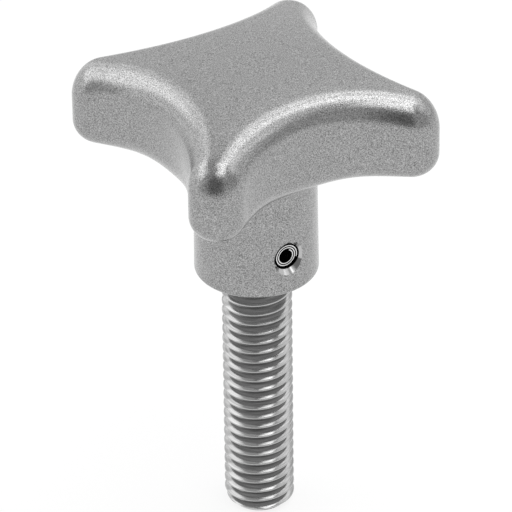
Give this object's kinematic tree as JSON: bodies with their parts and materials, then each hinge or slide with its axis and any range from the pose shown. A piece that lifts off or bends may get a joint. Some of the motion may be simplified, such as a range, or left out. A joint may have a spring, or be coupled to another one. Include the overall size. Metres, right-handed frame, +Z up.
{
  "type": "palm grip knob",
  "caption": "Star-shaped cast palm grip with crowned top and round hub, on a metric threaded stud locked in the hub by a coiled spring pin.",
  "frame": {"origin": "centre of the hub's lower face, on the stud's axis", "axes": "+Z up the stud's axis through the head; the four arms lie along +X, -X, +Y and -Y"},
  "size_m": [0.041, 0.041, 0.0568],
  "materials": {
    "grip_casting": "matte blasted cast stainless steel",
    "stud_steel": "rolled bright stainless thread",
    "pin_steel": "bright rolled spring steel"
  },
  "bodies": {
    "root": {"palm_grip": "grip_casting", "threaded_stud": "stud_steel", "coiled_spring_pin": "pin_steel"}
  },
  "joints": []
}
